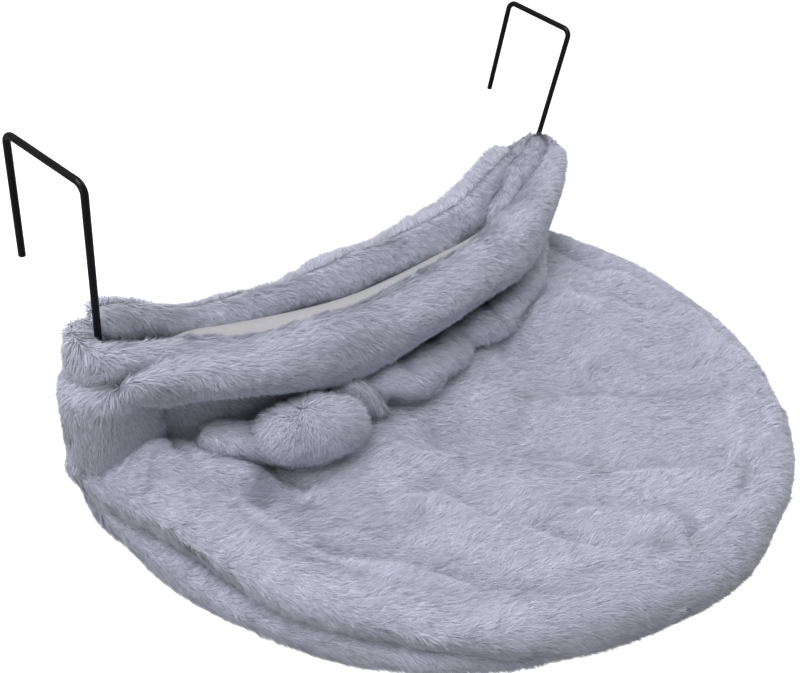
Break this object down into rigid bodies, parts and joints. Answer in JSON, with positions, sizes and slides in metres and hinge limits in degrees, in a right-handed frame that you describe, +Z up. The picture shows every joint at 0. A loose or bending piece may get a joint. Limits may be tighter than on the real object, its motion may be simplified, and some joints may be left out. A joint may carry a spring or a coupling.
{
  "type": "hanging cat bed",
  "caption": "Plush hammock bed for a cat on a D-shaped wire loop, hung over the top of a panel radiator by bent steel hooks.",
  "frame": {"origin": "midway between the two hooks, on the plane of the undersides of the hook bars (the top of the radiator), at the middle of the bars front to back", "axes": "+X to the right seen from the room, +Y towards the wall, +Z up"},
  "size_m": [0.5794, 0.4802, 0.2914],
  "materials": {
    "black_steel": "gloss black powder coat",
    "plush": "deep pile faux rabbit fur, blue grey",
    "knit_lining": "fine knit backing with ribs, warm grey"
  },
  "bodies": {
    "root": {"hook_rod_left": "black_steel", "hook_rod_right": "black_steel", "loop_rod": "black_steel", "joint_sleeve_left": "black_steel", "joint_sleeve_right": "black_steel", "rear_spreader_bar": "black_steel", "rim_sleeve": "plush", "sleeping_panel": "plush", "rear_hem": "plush", "front_hem_roll": "plush", "band_end_left": "plush", "band_end_right": "plush", "gather_ruffle": "plush", "gather_knob": "plush", "front_band": "plush", "rear_band": "plush", "under_panel": "plush", "mouth_lining": "knit_lining"}
  },
  "joints": []
}
